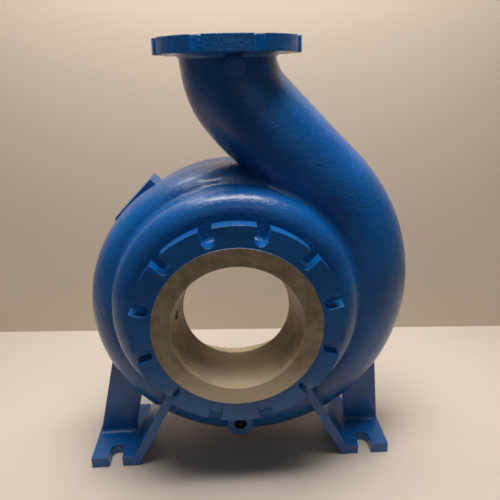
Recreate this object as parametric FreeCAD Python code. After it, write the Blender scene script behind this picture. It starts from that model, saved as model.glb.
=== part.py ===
# Volute pump casing, one casting: slotted suction flange and nozzle, drum-shaped front wall,
# spiral passage with a leaning neck, slotted discharge flange, rear cover opening and two feet.
# Frame: origin at the centre of the suction raised face, +Y into the casing, +Z up, millimetres.
import FreeCAD, Part
import math
import os
from FreeCAD import Matrix, Vector

# ---- driving dimensions -------------------------------------------------------------------
WALL = 16.0                     # cast wall everywhere

# suction flange, 10 inch class 150, with its bolt slots open to the rim
SUC_OD = 406.4
SUC_FACE_OD = 323.8
SUC_FACE_RISE = 1.6
SUC_THICK = 30.2                # behind the raised face
SUC_BORE = 254.0
SUC_PCD = 362.0
SUC_SLOT = 25.4
SUC_SLOTS = 12
THROAT_D = 216.0                # impeller eye end of the nozzle
THROAT_Y = 112.0
BORE_PARALLEL = 14.0            # length of parallel bore before the taper
RING_SEAT_D = 228.0             # wear ring seat, bored from inside the casing
RING_SEAT_DEPTH = 12.0
HEAD_GAP = 20.0                 # room for bolt heads behind the flange
NOZZLE_OD = 2 * 165.0

# body of revolution round the pump axis
DRUM_R = 248.0
DRUM_ROUND = 36.0
MID_Y = 185.0                   # middle plane of the volute
REAR_OD = 2 * 276.0
REAR_FRONT_Y = 213.0
REAR_Y = 285.0                  # rear cover face
REGISTER_D = 412.0
REGISTER_DEPTH = 42.0
COVER_PCD = 490.0
COVER_HOLES = 16
COVER_TAP_D = 14.0
COVER_TAP_DEPTH = 32.0
LUG_FLAT = 293.0                # pump axis to the flat of each rear lug
LUG_LENGTH = 134.0
LUG_SHIFT = 13.0                # the lugs sit off centre, further round anticlockwise
LUG_CORNER = 20.0

# spiral passage: outside radius at stations round the axis, anticlockwise from the right
STATIONS = ((90.0, 279.0), (180.0, 309.0), (270.0, 347.0), (360.0, 372.5), (405.0, 388.0))
SPIRAL_INNER_R = 199.0          # the wall outside of the passage, on its inner side
START_DEG = 66.0
JOIN_DEG = 300.0
FULL_DEG = 375.0                # the passage has its full width from here on
LEAVE_DEG = 405.0               # the neck leaves along the tangent
START_HALF_WIDTH = 60.0
CREASE_FILLET = 10.0            # between the drum and the front of the spiral
NECK_R = 89.0

# discharge flange, 6 inch class 150, slots open to the rim
DIS_OD = 279.4
DIS_FACE_OD = 215.9
DIS_FACE_RISE = 1.6
DIS_THICK = 28.0
DIS_BORE = 152.4
DIS_BORE_SKIM = 0.8             # the machined bore stands this much outside the cast passage
DIS_BORE_RUN = 6.0              # and runs this far below the flange
DIS_PCD = 241.3
DIS_SLOT = 22.2
DIS_SLOTS = 8
DIS_RIM_TOP = 512.0             # above the pump axis
DIS_FILLET = 12.0

# feet
AXIS_HEIGHT = 368.3
BASE_THICK = 24.0
BASE_IN_X = 225.0
BASE_OUT_X = 331.0
BASE_FRONT_Y = 75.0
BASE_REAR_Y = 262.0
FOOT_SLOT = 30.0
FOOT_SLOT_X = 278.5
FOOT_SLOT_DEPTH = 43.0
LEG_Y = 165.0
LEG_THICK = 22.0
LEG_FILLET = 9.0
LEG_OUT_TOP_Z = -116.0          # the legs end inside the spiral, at these heights
LEG_IN_TOP_Z = -206.0
LEGS = ((-1, 250.0, 13.8, 12.8),    # side, inner edge on the base, lean of outer and inner edge
        (1, 256.0, 5.0, 6.5))
WEB_IN_X = 228.0
WEB_THICK = 19.0
WEB_LEAN = 28.0
WEB_TOP_R = 240.0               # the webs end inside the drum

# small bosses and drillings
DRAIN_BOSS_D = 56.0
DRAIN_HOLE_D = 26.6
DRAIN_Z = -291.0
DRAIN_FACE_Y = 99.0
GAUGE_BOSS_D = 39.0
GAUGE_X = 11.0
GAUGE_DROP = 50.0               # below the discharge rim's top
GAUGE_RISE = 6.0
VENT_D = 18.0
VENT_Y = 55.0
VENT_DEG = 175.0
VENT_END_R = 150.0

OVERRUN = 4.0                   # cutters run past open faces by this much

AXIS = Vector(0, 1, 0)
ORIGIN = Vector(0, 0, 0)
WALL_Y = SUC_FACE_RISE + SUC_THICK + HEAD_GAP


# ---- helpers ------------------------------------------------------------------------------
def polar(radius, degrees, y=0.0):
    a = math.radians(degrees)
    return Vector(radius * math.cos(a), y, radius * math.sin(a))


def turned(edges):
    """Solid of revolution round the pump axis from the edges of a closed half section."""
    return Part.Face(Part.Wire(edges)).revolve(ORIGIN, AXIS, 360)


def chain(points):
    return [Part.makeLine(a, b) for a, b in zip(points, points[1:])]


def arc(a, middle, b):
    return Part.Arc(a, middle, b).toShape()


def prism(points, y0, y1):
    """Straight prism from an outline given as (x, z), between two planes across the pump axis."""
    face = Part.Face(Part.makePolygon([Vector(x, y0, z) for x, z in points + points[:1]]))
    return face.extrude(Vector(0, y1 - y0, 0))


def rod(diameter, start, direction, length):
    return Part.makeCylinder(diameter / 2.0, length, start, direction)


# ---- spiral and neck ----------------------------------------------------------------------
def spiral_out(deg):
    """Outside radius of the spiral, one smooth curve through the stations."""
    total = 0.0
    for i, (at, value) in enumerate(STATIONS):
        for j, (other, _) in enumerate(STATIONS):
            if j != i:
                value *= (deg - other) / (at - other)
        total += value
    return total


def progress(deg):
    return min(1.0, (deg - START_DEG) / (FULL_DEG - START_DEG))


def spiral_section(deg, inset):
    """Centre, outward direction and two half sizes of the section at one angle."""
    out = spiral_out(deg)
    half = min(NECK_R, (out - SPIRAL_INNER_R) / 2.0)
    wide = START_HALF_WIDTH + (NECK_R - START_HALF_WIDTH) * progress(deg)
    return polar(out - half, deg, MID_Y), polar(1.0, deg), half - inset, wide - inset


def neck_sections(inset, skim):
    """Sections of the leaning neck: straight, a bend up to the flange, and on into the flange."""
    lean = LEAVE_DEG - 360.0
    off = spiral_out(LEAVE_DEG) - NECK_R
    turn = math.tan(math.radians(90.0 - lean) / 2.0)
    bend_r = (DIS_RIM_TOP - DIS_THICK - off / math.sin(math.radians(lean))) / turn
    bend = Vector(bend_r, MID_Y, DIS_RIM_TOP - DIS_THICK)
    begin = polar(off, lean, MID_Y)
    first = bend + polar(bend_r, 180.0 + lean)
    places = [(begin + (first - begin) * f, lean) for f in (0.35, 0.7)]
    places += [(bend + polar(bend_r, 180.0 + a), a) for a in (lean, lean * 0.66, lean * 0.33, 0.0)]
    places += [(Vector(0, MID_Y, DIS_RIM_TOP - DIS_THICK / 2), 0.0)]
    end_r = DIS_BORE / 2.0 + WALL - skim
    sections = []
    for n, (centre, angle) in enumerate(places):
        radius = NECK_R + (end_r - NECK_R) * min(1.0, (n + 1) / 3.0) - inset
        sections.append((centre, polar(1.0, angle), radius, radius))
    return sections


def ring(section):
    centre, out, a, b = section
    place = Matrix(out.x * a, 0, 0, centre.x,
                   out.y * a, b, 0, centre.y,
                   out.z * a, 0, 1, centre.z)
    return Part.Wire([Part.makeCircle(1.0).transformGeometry(place)])


def spiral_part(first, last, inset, extra=()):
    count = int(round((last - first) / 12.0))
    angles = [first + (last - first) * i / count for i in range(count + 1)]
    sections = [spiral_section(a, inset) for a in angles]
    return Part.makeLoft([ring(s) for s in sections + list(extra)], True, False)


def passage(inset, skim=0.0):
    """The spiral in two parts, so that its tongue end and its neck can overlap."""
    early = spiral_part(START_DEG, JOIN_DEG, inset)
    late = spiral_part(JOIN_DEG, LEAVE_DEG, inset, neck_sections(inset, skim))
    return [early, late]


# ---- body of revolution -------------------------------------------------------------------
def body():
    face_r, rim_r, hub_r = SUC_FACE_OD / 2, SUC_OD / 2, NOZZLE_OD / 2
    back = SUC_FACE_RISE + SUC_THICK
    root = min(8.0, HEAD_GAP / 2.5)
    flat_r = DRUM_R - DRUM_ROUND
    c = math.sqrt(0.5)
    edges = chain([Vector(0, 0, 0), Vector(face_r, 0, 0), Vector(face_r, SUC_FACE_RISE, 0),
                   Vector(rim_r, SUC_FACE_RISE, 0), Vector(rim_r, back, 0), Vector(hub_r, back, 0),
                   Vector(hub_r, WALL_Y - root, 0)])
    edges.append(arc(Vector(hub_r, WALL_Y - root, 0),
                     Vector(hub_r + root * (1 - c), WALL_Y - root * (1 - c), 0),
                     Vector(hub_r + root, WALL_Y, 0)))
    edges += chain([Vector(hub_r + root, WALL_Y, 0), Vector(flat_r, WALL_Y, 0)])
    edges.append(arc(Vector(flat_r, WALL_Y, 0),
                     Vector(flat_r + DRUM_ROUND * c, WALL_Y + DRUM_ROUND * (1 - c), 0),
                     Vector(DRUM_R, WALL_Y + DRUM_ROUND, 0)))
    edges += chain([Vector(DRUM_R, WALL_Y + DRUM_ROUND, 0), Vector(DRUM_R, REAR_FRONT_Y, 0),
                    Vector(REAR_OD / 2, REAR_FRONT_Y, 0), Vector(REAR_OD / 2, REAR_Y, 0),
                    Vector(0, REAR_Y, 0), Vector(0, 0, 0)])
    return turned(edges)


def hollow():
    """Suction bore, pocket round the nozzle, impeller chamber and rear register."""
    bore, eye = SUC_BORE / 2, THROAT_D / 2
    nose_out = eye + WALL
    inner = DRUM_R - WALL
    floor = WALL_Y + WALL
    soft = DRUM_ROUND - WALL
    c = math.sqrt(0.5)
    seat = REAR_Y - REGISTER_DEPTH
    taper = (bore - eye) / (THROAT_Y - BORE_PARALLEL)
    nozzle_r = nose_out + taper * (THROAT_Y - floor)
    ring, ring_y = RING_SEAT_D / 2, THROAT_Y - RING_SEAT_DEPTH
    eye_y = ring_y - (ring - eye) / 2
    front, rear = -OVERRUN, REAR_Y + OVERRUN
    edges = chain([Vector(0, front, 0), Vector(bore, front, 0), Vector(bore, BORE_PARALLEL, 0),
                   Vector(eye, eye_y, 0), Vector(eye, ring_y, 0), Vector(ring, ring_y, 0),
                   Vector(ring, THROAT_Y, 0), Vector(nose_out, THROAT_Y, 0),
                   Vector(nozzle_r, floor, 0), Vector(inner - soft, floor, 0)])
    edges.append(arc(Vector(inner - soft, floor, 0),
                     Vector(inner - soft * (1 - c), floor + soft * (1 - c), 0),
                     Vector(inner, floor + soft, 0)))
    edges += chain([Vector(inner, floor + soft, 0), Vector(inner, seat, 0),
                    Vector(REGISTER_D / 2, seat, 0), Vector(REGISTER_D / 2, rear, 0),
                    Vector(0, rear, 0), Vector(0, front, 0)])
    return turned(edges)


def open_slot(width, radius, rim, deg, thick):
    """Bolt slot in a flange that lies on the XY plane: round root, open to the rim."""
    half = width / 2.0
    tall = thick + 2 * OVERRUN
    slot = Part.makeBox(rim, width, tall, Vector(radius, -half, -OVERRUN))
    slot = slot.fuse(Part.makeCylinder(half, tall, Vector(radius, 0, -OVERRUN)))
    slot.rotate(ORIGIN, Vector(0, 0, 1), deg)
    return slot


def suction_slots():
    cutters = []
    for i in range(SUC_SLOTS):
        deg = (i + 0.5) * 360.0 / SUC_SLOTS
        slot = open_slot(SUC_SLOT, SUC_PCD / 2, SUC_OD / 2, deg, SUC_THICK)
        slot.rotate(ORIGIN, Vector(1, 0, 0), 90)
        slot.translate(Vector(0, SUC_FACE_RISE + SUC_THICK, 0))
        cutters.append(slot)
    return cutters


def cover_holes():
    holes = []
    for i in range(COVER_HOLES):
        at = polar(COVER_PCD / 2, (i + 0.5) * 360.0 / COVER_HOLES, REAR_Y + OVERRUN)
        holes.append(rod(COVER_TAP_D, at, Vector(0, -1, 0), COVER_TAP_DEPTH + OVERRUN))
    return holes


def rear_lugs():
    """Four squared lugs on the rim of the rear flange, each with one corner cut off."""
    low = LUG_SHIFT - LUG_LENGTH / 2
    high = LUG_SHIFT + LUG_LENGTH / 2
    root = DRUM_R - WALL
    outline = [(root, low), (LUG_FLAT, low), (LUG_FLAT, high - LUG_CORNER),
               (LUG_FLAT - LUG_CORNER, high), (root, high)]
    lugs = []
    for deg in (45, 135, 225, 315):
        lug = prism(outline, REAR_FRONT_Y, REAR_Y)
        lug.rotate(ORIGIN, AXIS, -deg)
        lugs.append(lug)
    return lugs


# ---- discharge flange ---------------------------------------------------------------------
def discharge_flange():
    under = DIS_RIM_TOP - DIS_THICK
    neck = DIS_BORE / 2 + WALL
    inside = neck - WALL / 8
    r = DIS_FILLET
    c = math.sqrt(0.5)

    def at(radius, z):
        return Vector(radius, MID_Y, z)
    edges = [Part.makeLine(at(0, under - r), at(inside, under - r)),
             arc(at(inside, under - r), at(neck + r * (1 - c), under - r * (1 - c)), at(neck + r, under))]
    edges += chain([at(neck + r, under), at(DIS_OD / 2, under), at(DIS_OD / 2, DIS_RIM_TOP),
                    at(DIS_FACE_OD / 2, DIS_RIM_TOP), at(DIS_FACE_OD / 2, DIS_RIM_TOP + DIS_FACE_RISE),
                    at(0, DIS_RIM_TOP + DIS_FACE_RISE), at(0, under - r)])
    flange = Part.Face(Part.Wire(edges)).revolve(at(0, 0), Vector(0, 0, 1), 360)
    slots = []
    for i in range(DIS_SLOTS):
        deg = (i + 0.5) * 360.0 / DIS_SLOTS
        slot = open_slot(DIS_SLOT, DIS_PCD / 2, DIS_OD / 2, deg, DIS_THICK)
        slot.translate(at(0, under))
        slots.append(slot)
    return flange.cut(slots)


# ---- feet ---------------------------------------------------------------------------------
def on_leg_root(edge, top):
    """True for an edge along X where the leg stands on the base plate."""
    box = edge.BoundBox
    flat = box.YLength < 0.01 and box.ZLength < 0.01 and abs(box.ZMax - top) < 0.01
    return flat and min(abs(box.YMax - LEG_Y), abs(box.YMax - LEG_Y - LEG_THICK)) < 0.01


def leg(side, inner_x, out_lean, in_lean):
    """Leg across the pump axis: both its edges lean inwards on the way up."""
    low = BASE_THICK / 2 - AXIS_HEIGHT
    out_x = BASE_OUT_X - (LEG_OUT_TOP_Z - low) * math.tan(math.radians(out_lean))
    in_x = inner_x - (LEG_IN_TOP_Z - low) * math.tan(math.radians(in_lean))
    outline = [(BASE_OUT_X, low), (inner_x, low), (in_x, LEG_IN_TOP_Z),
               (in_x, LEG_OUT_TOP_Z), (out_x, LEG_OUT_TOP_Z)]
    return prism([(side * x, z) for x, z in outline], LEG_Y, LEG_Y + LEG_THICK)


def web(side):
    """Web that leans from the inner edge of the base up to the drum."""
    lean = math.radians(WEB_LEAN)
    up = Vector(-side * math.sin(lean), 0, math.cos(lean))
    across = Vector(side * math.cos(lean), 0, math.sin(lean)) * WEB_THICK
    start = Vector(side * WEB_IN_X, 0, -AXIS_HEIGHT)
    a = start - up * WEB_THICK
    b = start + up * (start.Length - WEB_TOP_R)
    outline = [(p.x, p.z) for p in (a, b, b + across, a + across)]
    ground = Part.makeBox(2 * BASE_OUT_X, BASE_REAR_Y, BASE_OUT_X,
                          Vector(-BASE_OUT_X, 0, -AXIS_HEIGHT - BASE_OUT_X))
    return prism(outline, BASE_FRONT_Y, LEG_Y + LEG_THICK).cut(ground)


def foot_slots(side):
    """Holding-down slots, one open to the front of the base and one to the rear."""
    cutters = []
    for end_y, away in ((BASE_FRONT_Y, -1), (BASE_REAR_Y, 1)):
        slot = open_slot(FOOT_SLOT, 0, FOOT_SLOT_DEPTH, 90 * away, BASE_THICK)
        root_y = end_y - away * (FOOT_SLOT_DEPTH - FOOT_SLOT / 2)
        slot.translate(Vector(side * FOOT_SLOT_X, root_y, -AXIS_HEIGHT))
        cutters.append(slot)
    return cutters


def foot(side, inner_x, out_lean, in_lean):
    """Base plate, leg and web in one, with fillets where the leg stands on the plate."""
    corner = Vector(min(side * BASE_IN_X, side * BASE_OUT_X), BASE_FRONT_Y, -AXIS_HEIGHT)
    plate = Part.makeBox(BASE_OUT_X - BASE_IN_X, BASE_REAR_Y - BASE_FRONT_Y, BASE_THICK, corner)
    whole = plate.fuse([leg(side, inner_x, out_lean, in_lean), web(side)]).removeSplitter()
    roots = [e for e in whole.Edges if on_leg_root(e, BASE_THICK - AXIS_HEIGHT)]
    return whole.makeFillet(LEG_FILLET, roots).cut(foot_slots(side))


# ---- casting ------------------------------------------------------------------------------
def drum_and_spiral():
    """Body and passage in one, with the crease between them filleted in front."""
    solid = body()
    for piece in passage(0.0):
        solid = solid.fuse(piece)
    solid = solid.Solids[0]
    creases = []
    for edge in solid.Edges:
        kinds = [type(face.Surface) for face in solid.ancestorsOfType(edge, Part.Face)]
        if kinds.count(Part.BSplineSurface) == 1 and edge.BoundBox.YMax < MID_Y:
            creases.append(edge)
    return solid.makeFillet(CREASE_FILLET, creases)


def outside():
    drain = rod(DRAIN_BOSS_D, Vector(0, DRAIN_FACE_Y, DRAIN_Z), AXIS, MID_Y - DRAIN_FACE_Y)
    neck_front = MID_Y - DIS_BORE / 2 - WALL
    gauge_z = DIS_RIM_TOP - GAUGE_DROP
    gauge_at = Vector(GAUGE_X, neck_front - GAUGE_RISE, gauge_z)
    gauge = rod(GAUGE_BOSS_D, gauge_at, AXIS, GAUGE_RISE + WALL / 2)
    solid = drum_and_spiral()
    feet = [foot(*sizes) for sizes in LEGS]
    for piece in rear_lugs() + feet + [drain, gauge, discharge_flange()]:
        solid = solid.fuse(piece)
    return solid


def casting():
    tools = [hollow()] + passage(WALL, DIS_BORE_SKIM)
    bore_from = Vector(0, MID_Y, DIS_RIM_TOP - DIS_THICK - DIS_BORE_RUN)
    bore_run = DIS_BORE_RUN + DIS_THICK + DIS_FACE_RISE + OVERRUN
    tools.append(rod(DIS_BORE, bore_from, Vector(0, 0, 1), bore_run))
    drain_from = Vector(0, DRAIN_FACE_Y - OVERRUN, DRAIN_Z)
    tools.append(rod(DRAIN_HOLE_D, drain_from, AXIS, MID_Y - DRAIN_FACE_Y))
    vent_from = polar(THROAT_D / 2, VENT_DEG, VENT_Y)
    tools.append(rod(VENT_D, vent_from, polar(1.0, VENT_DEG), VENT_END_R - THROAT_D / 2))
    solid = outside()
    for tool in tools:
        solid = solid.cut(tool)
    solid = solid.cut(suction_slots())
    return solid.cut(cover_holes())


shape = casting()
if len(shape.Solids) == 1:
    shape = shape.Solids[0]
print("type", shape.ShapeType, "solids", len(shape.Solids), "valid", shape.isValid(),
      "litres", round(shape.Volume / 1e6, 3), "faces", len(shape.Faces))
os.makedirs("parts", exist_ok=True)
shape.exportStep("parts/volute_casing.step")
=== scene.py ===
"""Looks of the volute pump casing: blue enamel over cast metal, bare machined suction face and bore."""

import math

import bpy
from mathutils import Matrix, Vector


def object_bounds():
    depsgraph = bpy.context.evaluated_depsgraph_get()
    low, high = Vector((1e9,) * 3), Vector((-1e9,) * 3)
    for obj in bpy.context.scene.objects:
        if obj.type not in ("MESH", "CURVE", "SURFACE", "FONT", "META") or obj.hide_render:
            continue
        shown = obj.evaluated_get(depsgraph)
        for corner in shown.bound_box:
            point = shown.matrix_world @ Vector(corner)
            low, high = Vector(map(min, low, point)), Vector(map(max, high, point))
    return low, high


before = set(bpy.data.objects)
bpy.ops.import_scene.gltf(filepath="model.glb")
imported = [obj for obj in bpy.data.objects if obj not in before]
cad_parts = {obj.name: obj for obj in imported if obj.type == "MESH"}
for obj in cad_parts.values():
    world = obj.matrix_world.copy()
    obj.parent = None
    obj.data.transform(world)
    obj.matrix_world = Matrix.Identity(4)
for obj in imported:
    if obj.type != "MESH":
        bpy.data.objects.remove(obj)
cad_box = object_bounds()

MM = 0.001

# ---- sizes shared with the CAD model ------------------------------------------------------
BARE_FACE_R = 161.9 * MM        # raised face of the suction flange
BARE_FACE_DEPTH = 0.8 * MM
SUCTION_BORE_R = 127 * MM
NOZZLE_END_Y = 112 * MM         # the machined bore ends here
REGISTER_R = 206 * MM
REGISTER_DEPTH = 42 * MM
COVER_FACE_Y = 285 * MM
DISCHARGE_FACE_Z = 513.6 * MM
DISCHARGE_FACE_R = 107.95 * MM
DISCHARGE_BORE_R = 76.2 * MM
DISCHARGE_BORE_LENGTH = 35.6 * MM
MID_Y = 185 * MM
DRAIN_Z = -291 * MM
DRAIN_R = 13.3 * MM
DRAIN_END_Y = 140 * MM
SKIN = 0.3 * MM                 # slack of the masks
FLOOR_Z = cad_box[0][2]

# ---- camera and surroundings --------------------------------------------------------------
CAMERA_AT = Vector((-0.0107, -0.829, 0.456))
CAMERA_PITCH = 19.76            # degrees downwards
CAMERA_YAW = -2.54              # turned a little to the right
CAMERA_ROLL = -1.30
LENS_MM = 36.19
STAGE_HALF = 4.0                # half the width of the floor, and the wall's height
WALL_Y = 0.68                   # where the wall crosses the pump axis
WALL_SLOPE = -0.066             # the wall runs a little nearer on the right
FLOOR_PALE_Y = -0.15            # painted shade: the floor gets darker from here towards the front
FLOOR_DARK_Y = -0.55
WARM = (1.0, 0.975, 0.95)


# ---- node helpers -------------------------------------------------------------------------
class Nodes:
    """Short way to build a node tree."""

    def __init__(self, material):
        material.use_nodes = True
        self.tree = material.node_tree
        self.tree.nodes.clear()

    def set(self, node, key, value):
        if isinstance(value, bpy.types.NodeSocket):
            self.tree.links.new(value, node.inputs[key])
        else:
            node.inputs[key].default_value = value

    def add(self, kind, inputs=None, **settings):
        node = self.tree.nodes.new("ShaderNode" + kind)
        for key, value in settings.items():
            setattr(node, key, value)
        for key, value in (inputs or {}).items():
            self.set(node, key, value)
        return node

    def math(self, operation, a, b=0.5):
        return self.add("Math", {0: a, 1: b}, operation=operation).outputs[0]

    def noise(self, where, scale, detail=3.0, rough=0.5, distortion=0.0):
        inputs = {"Vector": where, "Scale": scale, "Detail": detail, "Roughness": rough,
                  "Distortion": distortion}
        return self.add("TexNoise", inputs).outputs["Fac"]

    def step(self, value, low, high):
        """0 below low, 1 above high, smooth between."""
        inputs = {"Value": value, "From Min": low, "From Max": high}
        return self.add("MapRange", inputs, interpolation_type="SMOOTHSTEP").outputs["Result"]

    def mix(self, factor, a, b):
        node = self.add("Mix", data_type="RGBA")
        for key, value in ((0, factor), (6, a), (7, b)):
            self.set(node, key, value)
        return node.outputs[2]

    def bump(self, height, strength, distance, normal):
        inputs = {"Height": height, "Strength": strength, "Distance": distance, "Normal": normal}
        return self.add("Bump", inputs).outputs[0]

    def distance(self, a, b, b_centre=0.0):
        """Distance from an axis, out of two coordinates."""
        b = self.math("SUBTRACT", b, b_centre)
        squares = self.math("ADD", self.math("MULTIPLY", a, a), self.math("MULTIPLY", b, b))
        return self.math("SQRT", squares)

    def both(self, a, b):
        return self.math("MULTIPLY", a, b)

    def above(self, value, limit):
        return self.math("GREATER_THAN", value, limit)

    def below(self, value, limit):
        return self.math("LESS_THAN", value, limit)


def rgb(r, g, b):
    """Linear colour from 0 to 255 display values."""
    def linear(v):
        v /= 255.0
        return v / 12.92 if v <= 0.04045 else ((v + 0.055) / 1.055) ** 2.4
    return (linear(r), linear(g), linear(b), 1.0)


# ---- materials ----------------------------------------------------------------------------
def bare_mask(n, place, x, y, z):
    """1 on machined surfaces: suction face and bore, cover face and register, discharge face and bore."""
    radius = n.distance(x, z)
    wander = n.math("MULTIPLY", n.math("SUBTRACT", n.noise(place, 90.0, 2.0), 0.5), 1.2 * MM)
    edge_radius = n.math("ADD", radius, wander)
    top_radius = n.distance(x, y, MID_Y)
    places = (
        n.both(n.below(edge_radius, BARE_FACE_R), n.below(y, BARE_FACE_DEPTH)),
        n.both(n.below(radius, SUCTION_BORE_R + 5 * SKIN), n.below(y, NOZZLE_END_Y)),
        n.both(n.above(y, COVER_FACE_Y - SKIN), n.above(radius, REGISTER_R - 3 * SKIN)),
        n.both(n.above(y, COVER_FACE_Y - REGISTER_DEPTH - SKIN), n.below(radius, REGISTER_R + SKIN)),
        n.both(n.above(z, DISCHARGE_FACE_Z - BARE_FACE_DEPTH), n.below(top_radius, DISCHARGE_FACE_R)),
        n.both(n.above(z, DISCHARGE_FACE_Z - DISCHARGE_BORE_LENGTH),
               n.below(top_radius, DISCHARGE_BORE_R + SKIN)),
    )
    bare = places[0]
    for other in places[1:]:
        bare = n.math("MAXIMUM", bare, other)
    return bare


def enamel_shader(n, place, x, y, z):
    """Thick satin blue enamel over a sand-cast skin, with dust and painted shade that colours the drain
    hole black.
    """
    broad = n.noise(place, 7.0, 3.0)
    patches = n.noise(place, 28.0, 4.0, 0.6)
    coarse = n.noise(place, 130.0, 4.0, 0.6)
    blue = n.mix(n.step(broad, 0.3, 0.7), rgb(7, 79, 145), rgb(14, 98, 168))
    blue = n.mix(n.math("MULTIPLY", n.step(patches, 0.45, 0.75), 0.35), blue, rgb(4, 58, 118))
    blue = n.mix(n.math("MULTIPLY", n.step(coarse, 0.64, 0.8), 0.08), blue, rgb(110, 146, 176))
    # painted shade: the deep drain hole is coloured near black and made fully rough
    drain_painted_shade = n.both(n.below(n.distance(x, z, DRAIN_Z), DRAIN_R + SKIN), n.below(y, DRAIN_END_Y))
    blue = n.mix(drain_painted_shade, blue, rgb(6, 5, 5))
    rough = n.math("MAXIMUM", n.math("ADD", n.math("MULTIPLY", patches, 0.26), 0.14), drain_painted_shade)
    softened = n.add("Bevel", {"Radius": 3.0 * MM}, samples=6).outputs[0]
    lumps = n.bump(n.noise(place, 30.0, 4.0, 0.6), 0.5, 4.0 * MM, softened)
    sand = n.bump(n.noise(place, 170.0, 4.0, 0.65), 0.8, 1.4 * MM, lumps)
    shader = n.add("BsdfPrincipled", {"Base Color": blue, "Roughness": rough, "Normal": sand})
    shader.inputs["Coat Weight"].default_value = 0.25
    shader.inputs["Coat Roughness"].default_value = 0.1
    shader.inputs["Specular IOR Level"].default_value = 0.5
    return shader.outputs[0]


def metal_shader(n, place, x, y, z):
    """Turned metal with light stains, and painted light that makes it lighter towards the bottom of the
    suction face.
    """
    stain = n.noise(place, 40.0, 5.0, 0.6, 0.3)
    spots = n.noise(place, 190.0, 4.0, 0.65)
    colour = n.mix(n.step(stain, 0.3, 0.7), rgb(142, 126, 102), rgb(172, 157, 132))
    colour = n.mix(n.math("MULTIPLY", n.step(spots, 0.52, 0.74), 0.4), colour, rgb(88, 70, 50))
    # painted light: the metal colour is lightened towards the bottom of the machined surfaces
    painted_light_low = n.math("SUBTRACT", 1.0, n.step(z, -140 * MM, -60 * MM))
    colour = n.mix(n.math("MULTIPLY", painted_light_low, 0.8), colour, rgb(216, 200, 172))
    grooves = n.add("CombineXYZ", {0: n.math("ADD", n.distance(x, z), y)}).outputs[0]
    wave = n.add("TexWave", {"Vector": grooves, "Scale": 300.0, "Distortion": 0.6, "Detail": 1.0},
                 bands_direction="X").outputs["Fac"]
    softened = n.add("Bevel", {"Radius": 1.5 * MM}, samples=6).outputs[0]
    turned = n.bump(wave, 0.08, 0.2 * MM, softened)
    pits = n.bump(spots, 0.2, 0.4 * MM, turned)
    rough = n.math("ADD", n.math("MULTIPLY", stain, 0.25), 0.35)
    shader = n.add("BsdfPrincipled", {"Base Color": colour, "Roughness": rough, "Normal": pits})
    shader.inputs["Metallic"].default_value = 0.5
    return shader.outputs[0]


def casing_material():
    material = bpy.data.materials.new("casing_enamel_and_bare_metal")
    n = Nodes(material)
    place = n.add("NewGeometry").outputs["Position"]
    axes = n.add("SeparateXYZ", {0: place}).outputs
    at = (place, axes[0], axes[1], axes[2])
    shader = n.add("MixShader", {0: bare_mask(n, *at), 1: enamel_shader(n, *at), 2: metal_shader(n, *at)})
    n.add("OutputMaterial", {"Surface": shader.outputs[0]})
    return material


def plain_material(name, colour, rough, scale, painted_front_shade=False):
    """Lightly mottled colour, and for the floor painted shade that gets dark towards the front."""
    material = bpy.data.materials.new(name)
    n = Nodes(material)
    place = n.add("NewGeometry").outputs["Position"]
    mottled = n.mix(n.noise(place, scale, 3.0), tuple(c * 0.94 for c in colour[:3]) + (1.0,), colour)
    if painted_front_shade:
        y = n.add("SeparateXYZ", {0: place}).outputs[1]
        # painted shade: the floor colour goes dark towards the front
        pale = n.step(y, FLOOR_DARK_Y, FLOOR_PALE_Y)
        mottled = n.mix(pale, rgb(70, 64, 58), mottled)
    shader = n.add("BsdfPrincipled", {"Base Color": mottled, "Roughness": rough})
    n.add("OutputMaterial", {"Surface": shader.outputs[0]})
    return material


# ---- stage --------------------------------------------------------------------------------
def sheet(name, corners, material):
    mesh = bpy.data.meshes.new(name)
    mesh.from_pydata(corners, [], [tuple(range(len(corners)))])
    mesh.materials.append(material)
    obj = bpy.data.objects.new(name, mesh)
    bpy.context.scene.collection.objects.link(obj)


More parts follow.
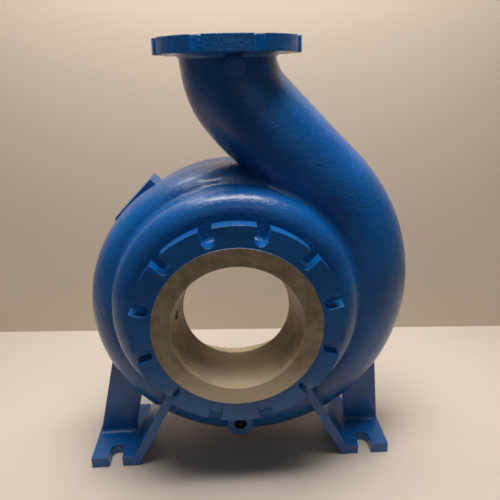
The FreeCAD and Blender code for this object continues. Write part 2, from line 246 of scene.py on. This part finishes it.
def stage():
    floor = plain_material("floor_off_white", rgb(203, 191, 179), 0.55, 6.0, painted_front_shade=True)
    wall = plain_material("wall_beige", rgb(201, 186, 169), 0.8, 2.0)
    h, z = STAGE_HALF, FLOOR_Z
    sheet("floor", [(-h, -h, z), (h, -h, z), (h, h, z), (-h, h, z)], floor)
    left, right = WALL_Y - h * WALL_SLOPE, WALL_Y + h * WALL_SLOPE
    sheet("back_wall", [(-h, left, z), (h, right, z), (h, right, h), (-h, left, h)], wall)


# ---- camera and lights --------------------------------------------------------------------
def camera():
    data = bpy.data.cameras.new("camera")
    data.lens = LENS_MM
    data.sensor_width = 36.0
    obj = bpy.data.objects.new("camera", data)
    pitch, yaw, roll = (math.radians(v) for v in (CAMERA_PITCH, CAMERA_YAW, CAMERA_ROLL))
    turn = Matrix.Rotation(yaw, 4, "Z") @ Matrix.Rotation(math.pi / 2 - pitch, 4, "X")
    obj.matrix_world = Matrix.Translation(CAMERA_AT) @ turn @ Matrix.Rotation(roll, 4, "Z")
    bpy.context.scene.collection.objects.link(obj)
    bpy.context.scene.camera = obj


def area(name, at, aim, size, power):
    data = bpy.data.lights.new(name, "AREA")
    data.shape = "RECTANGLE"
    data.size, data.size_y = size
    data.energy = power
    data.color = WARM
    obj = bpy.data.objects.new(name, data)
    obj.location = at
    obj.rotation_euler = (Vector(aim) - Vector(at)).to_track_quat("-Z", "Y").to_euler()
    bpy.context.scene.collection.objects.link(obj)


def lights():
    area("ceiling", (0.05, -0.1, 2.0), (0, 0.1, 0), (1.3, 0.7), 54.0)
    area("behind", (0.0, 0.46, 1.3), (0, 0.5, 0), (1.4, 0.2), 12.0)
    area("front", (0.3, -2.4, 1.3), (0, 0, 0.1), (1.2, 0.8), 2.5)
    world = bpy.data.worlds.new("world")
    world.use_nodes = True
    background = world.node_tree.nodes["Background"]
    background.inputs[0].default_value = (0.9, 0.88, 0.85, 1.0)
    background.inputs[1].default_value = 0.07
    bpy.context.scene.world = world


bpy.context.scene.view_settings.view_transform = "Standard"
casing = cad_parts["volute_casing"]
casing.data.materials.clear()
casing.data.materials.append(casing_material())
stage()
camera()
lights()
